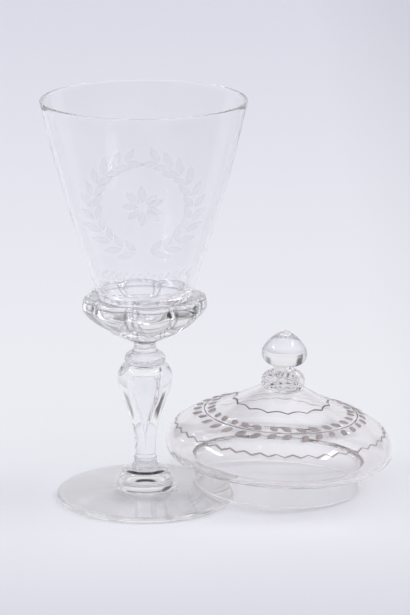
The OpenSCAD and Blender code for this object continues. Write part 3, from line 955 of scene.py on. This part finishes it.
# %% Painted lines
STEM_LINE_R, SCALLOP_R, ZIGZAG_R = 39.9, 24.6, 54.4
FRONT = -90 - LID_BEARING
painted = []
for name, radius, teeth, swing, scalloped, width, hand, seed, finish in (
    ("garland_stem", STEM_LINE_R, 30, 0, 0, 0.32, 0.08, 3, line_enamel),
    ("scallop_line", SCALLOP_R, 15, 0.7, 1, 0.4, 0.12, 5, line_enamel),
    ("zigzag_line", ZIGZAG_R, 41, 0.62, 0, 0.36, 0.15, 8, enamel),
):
    painted.append(
        grown(
            path_object(name + "_base", [(0, 0, 0), (1, 0, 0)]),
            strokes,
            {
                "Surface": lid_dome,
                "Radius": radius * MM,
                "Teeth": teeth,
                "Swing": swing * MM,
                "Scallop": scalloped,
                "Width": width * MM,
                "Hand": hand * MM,
                "Seed": seed,
                "Finish": finish,
            },
        )
    )

# %% Painted leaves
paint_leaf = leaf_shape("paint_leaf", 2.8, 6.1, 3.7, 0.14, 0.02)
for name, sweep, count, arc_length, seed in (
    ("garland_outer_leaves", 32, 33, -349, 11),
    ("garland_inner_leaves", -42, 31, -348, 12),
):
    painted.append(
        grown(
            circle_path(name + "_base", STEM_LINE_R, FRONT + 10, arc_length),
            leaves,
            {
                "Surface": lid_dome,
                "Leaf": paint_leaf,
                "Count": count,
                "Sweep": math.radians(sweep),
                "Sway": 0.12,
                "Size": 1,
                "Tilt": (0, 0, 0),
                "Shift": (0, 0, CLEAR_ABOVE),
                "Ray": (0, 0, -1),
                "Seed": seed,
                "Finish": enamel,
            },
        )
    )
bpy.data.objects.remove(paint_leaf)

# %% [markdown]
# ## Matt ornament on the bowl
# The front of the bowl carries a wheel-cut ornament, matt and pale, that shows only where it catches
# the light. Here it is a plain wreath of leaves round a rosette, with a short border below it. The
# same tree of leaves lays it on the glass, from a sheet that stands in front of the bowl.

# %% Matt cut finish
GRAIN_SCALE, SOFT_SCALE, CUT_DEPTH = 900, 70, 0.00005
LEAST_COVER, COVER_SPREAD = 0.05, 0.14


def matt_finish(name):
    material, shader, start, place = new_finish(name)
    grain = noise(place, GRAIN_SCALE, 2)
    plug(shader, "Base Color", blend(grain, (0.86, 0.86, 0.89, 1), (0.97, 0.97, 0.98, 1)))
    plug(shader, "Roughness", 0.55 + grain * 0.25)
    plug(shader, "Alpha", LEAST_COVER + noise(place, SOFT_SCALE, 2) * COVER_SPREAD)
    roughen(shader, grain, 0.4, CUT_DEPTH)
    return material


matt_cut = matt_finish("matt cut glass")
print("finish of the ornament:", matt_cut.name)

# %% Wreath, rosette and border
WREATH_Z, WREATH_R, ROSETTE_R, BORDER_Z, BORDER_HALF = 163, 25, 1.2, 124, 21
sheet = {
    "Surface": bowl,
    "Sway": 0.06,
    "Size": 1.0,
    "Tilt": (math.pi / 2, 0, 0),
    "Shift": (0, -CLEAR_ABOVE, 0),
    "Ray": (0, 1, 0),
    "Finish": matt_cut,
}
cut_leaf = leaf_shape("cut_leaf", 0.6, 9, 3.6, 0.06, 0.01)
petal = leaf_shape("petal", 1.2, 8.5, 4.2, 0.06, 0.01)
bud = leaf_shape("bud", 0, 4.2, 1.9, 0.06, 0.01)
ornament = []


def branch(name, angles, radius=WREATH_R, centre=WREATH_Z):
    points = [(radius * math.cos(a), centre + radius * math.sin(a), 0) for a in np.radians(angles)]
    return path_object(name + "_base", points)


for hand, first, last in (("left", 262, 110), ("right", -82, 70)):
    for row, sweep in (("outer", 34), ("inner", -34)):
        name = f"wreath_{hand}_{row}"
        ornament.append(
            grown(
                branch(name, np.linspace(first, last, 60)),
                leaves,
                dict(sheet, Leaf=cut_leaf, Count=11, Sweep=math.radians(sweep), Seed=len(ornament)),
            )
        )
ornament.append(
    grown(
        branch("rosette", np.linspace(0, 360, 72), ROSETTE_R),
        leaves,
        dict(sheet, Leaf=petal, Count=9, Sweep=-math.pi / 2, Seed=9),
    )
)
for row, sweep in (("upper", 40), ("lower", -40)):
    ornament.append(
        grown(
            path_object(
                f"border_{row}_base", [(x, BORDER_Z, 0) for x in np.linspace(-BORDER_HALF, BORDER_HALF, 40)]
            ),
            leaves,
            dict(sheet, Leaf=bud, Count=13, Sweep=math.radians(sweep), Seed=20 + len(ornament)),
        )
    )
for pattern in (cut_leaf, petal, bud):
    bpy.data.objects.remove(pattern)


# %% [markdown]
# ## Joining up
# The pieces of the lid go to their leaning place. Paint and ornament that ride on one body become one
# piece each. Every glass piece then stands for its solid and moves with its body.


# %% Bodies
def joined(name, parts):
    with bpy.context.temp_override(active_object=parts[0], selected_editable_objects=parts):
        bpy.ops.object.join()
    parts[0].name = parts[0].data.name = name
    return parts[0]


lid_paint = joined("lid_enamel", painted)
bowl_ornament = joined("bowl_matt_cut", ornament)
lid_pieces = {
    "lid_dome": lid_dome,
    "lid_flange": lid_flange,
    "finial_collar": finial_collar,
    "finial_knob": finial_knob,
}
for piece in [*lid_pieces.values(), lid_paint]:
    piece.data.transform(lean)
    piece.data.update()

goblet_pieces = {
    "foot": foot,
    "foot_ring": foot_ring,
    "stem_baluster": baluster,
    "stem_disc": disc,
    "stem_neck": neck,
    "collar": collar,
    "bowl": bowl,
}
for body, pieces in (("goblet", goblet_pieces), ("lid", lid_pieces)):
    for node, piece in pieces.items():
        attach(piece, body)
        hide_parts(node)
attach(lid_paint, "lid")
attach(bowl_ornament, "goblet")
print("paint faces:", len(lid_paint.data.polygons), "ornament faces:", len(bowl_ornament.data.polygons))

# %% [markdown]
# ## Table
# The goblet stands on a pale sheet of paper that fills the view, and it takes the soft shadow of the
# glass. How the light falls off over the paper is painted into its colour: a colour ramp along the
# table makes it darkest at the front, and a painted shade darkens it towards the right. No picture of
# paper is needed for that.

# %% Table
TABLE_R, TABLE_Z, TABLE_SIDES = 7.0, -0.0001, 96
RAMP_FRONT, RAMP_LENGTH, FADE_FROM, FADE_MOST = 0.2, 2, 0.135, 0.1
angles = np.linspace(0, 2 * math.pi, TABLE_SIDES + 1)[:-1]
ring = [(TABLE_R * math.cos(a), TABLE_R * math.sin(a), TABLE_Z) for a in angles]
table_mesh = bpy.data.meshes.new("table")
table_mesh.from_pydata(ring, [], [tuple(range(len(ring)))])
table = bpy.data.objects.new("table", table_mesh)
bpy.context.scene.collection.objects.link(table)
paper, shader, start, place = new_finish("paper")
spot = start.node("ShaderNodeSeparateXYZ", [place])
# painted light: the ramp paints how the light falls off over the paper, darkest at the front
painted_light_ramp = start.node(
    "ShaderNodeValToRGB",
    [(spot.also("Y") + RAMP_FRONT) / RAMP_LENGTH],
    stops=[
        (0.0, (0.68, 0.675, 0.735, 1)),
        (0.07, (0.8, 0.8, 0.84, 1)),
        (0.2, (0.83, 0.83, 0.862, 1)),
        (0.6, (0.782, 0.782, 0.843, 1)),
        (0.9, (0.76, 0.76, 0.839, 1)),
    ],
)
# painted shade that darkens the paper towards the right
painted_right_shade = 1 - (spot - FADE_FROM).maths("MAXIMUM", 0).maths("MINIMUM", FADE_MOST)
paper_and_painted_light = start.node("ShaderNodeVectorMath", {0: painted_light_ramp, "Scale": painted_right_shade}, operation="SCALE")
plug(shader, "Base Color", paper_and_painted_light)
shader.inputs["Roughness"].default_value = 0.9
shader.inputs["Specular IOR Level"].default_value = 0
table_mesh.materials.append(paper)
print("table:", TABLE_R, "m, finish", paper.name)

# %% [markdown]
# ## Light
# Glass has no colour of its own, so what it shows is the room. The room grows brighter the higher one
# looks, and a pale backdrop stands behind the table. Dark gaps lie high up behind, low in front and
# at both sides, and thick glass bends them into dark lines. An even room would be simpler, but clear
# glass all but vanishes in it. A gap is given by its bearing and half width in degrees, the heights
# it lies between and how dark it is.

# %% Room
GAP_EDGE, BACKDROP = 0.1, 0.87
FLOOR_LIGHT, LIGHT_RISE, RIGHT_GAIN = 0.46, 0.77, 0.9
RIGHT_FRONT_X, RIGHT_FRONT_Y = 0.94, -0.34
world = bpy.data.worlds.new("room")
bpy.context.scene.world = world
world.use_nodes = True
tree = world.node_tree
start = Strand(tree)
aim = start.node("ShaderNodeSeparateXYZ", [start.node("ShaderNodeTexCoord", out="Generated")])
height = aim.also("Z")
bearing = aim.maths("ARCTAN2", aim.also("Y"))


def within(value, low, high):
    inner = ((value - low) / GAP_EDGE).maths("MINIMUM", (high - value) / GAP_EDGE)
    return inner.maths("MAXIMUM", 0).maths("MINIMUM", 1)


def patch_of_room(centre, half, low, high):
    aside = (bearing - math.radians(centre)).maths("WRAP", math.pi, -math.pi).maths("ABSOLUTE")
    return within(aside, -1, math.radians(half)) * within(height, low, high)


right_front = aim * RIGHT_FRONT_X + aim.also("Y") * RIGHT_FRONT_Y
walls = (FLOOR_LIGHT + height * LIGHT_RISE) * (1 + height * height * right_front * RIGHT_GAIN)
backdrop = patch_of_room(0, 75, -0.3, 0.4)
room = walls.maths("MAXIMUM", backdrop * BACKDROP)
gaps = {
    "left": (-34, 13, 0.06, 0.62, 0.85),
    "right": (40, 11, 0.08, 0.42, 0.55),
    "high left": (-50, 14, 0.64, 0.88, 0.5),
    "behind": (0, 34, 0.47, 0.94, 0.98),
    "low front": (155, 55, -0.2, 0.17, 0.65),
}
for centre, half, low, high, depth in gaps.values():
    room = room * (1 - patch_of_room(centre, half, low, high) * depth)
seen = start.node("ShaderNodeLightPath", out="Is Camera Ray")
light = start.node("ShaderNodeVectorMath", {0: (1, 1, 1.03), "Scale": room}, operation="SCALE")
shown = blend(seen, light, (0.7, 0.7, 0.78, 1))
tree.links.new(shown.socket, tree.nodes["Background"].inputs["Color"])
print("room:", len(tree.nodes), "nodes, dark gaps:", list(gaps))

# %% [markdown]
# ## Lamps and light paths
# Two long soft lamps above the sides give the white glints on the lid's shoulder. Light passes many
# faces on its way through thick glass, and each one counts as a bounce. With few bounces the stem
# would turn grey, so the paths are long, and the filter that blurs sharp reflections is off.

# %% Lamps and light paths
LAMP_SIZE, LAMP_POWER, BOUNCES = (0.75, 0.15), 3.2, 128


def soft_lamp(name, place, target):
    data = bpy.data.lights.new(name, "AREA")
    data.shape = "RECTANGLE"
    data.size, data.size_y = LAMP_SIZE
    data.energy = LAMP_POWER
    lamp = bpy.data.objects.new(name, data)
    lamp.location = place
    lamp.rotation_euler = (Vector(target) - Vector(place)).to_track_quat("-Z", "Y").to_euler()
    bpy.context.scene.collection.objects.link(lamp)
    print(name, "at", place)


soft_lamp("left lamp", (-1.25, -0.05, 1.3), (0, 0, 0.1))
soft_lamp("right lamp", (1.15, 0.0, 1.55), (0.05, 0, 0.1))
bpy.context.scene.view_settings.view_transform = "Standard"
paths = bpy.context.scene.cycles
paths.blur_glossy = 0
paths.max_bounces = paths.transmission_bounces = paths.glossy_bounces = BOUNCES
paths.transparent_max_bounces = BOUNCES
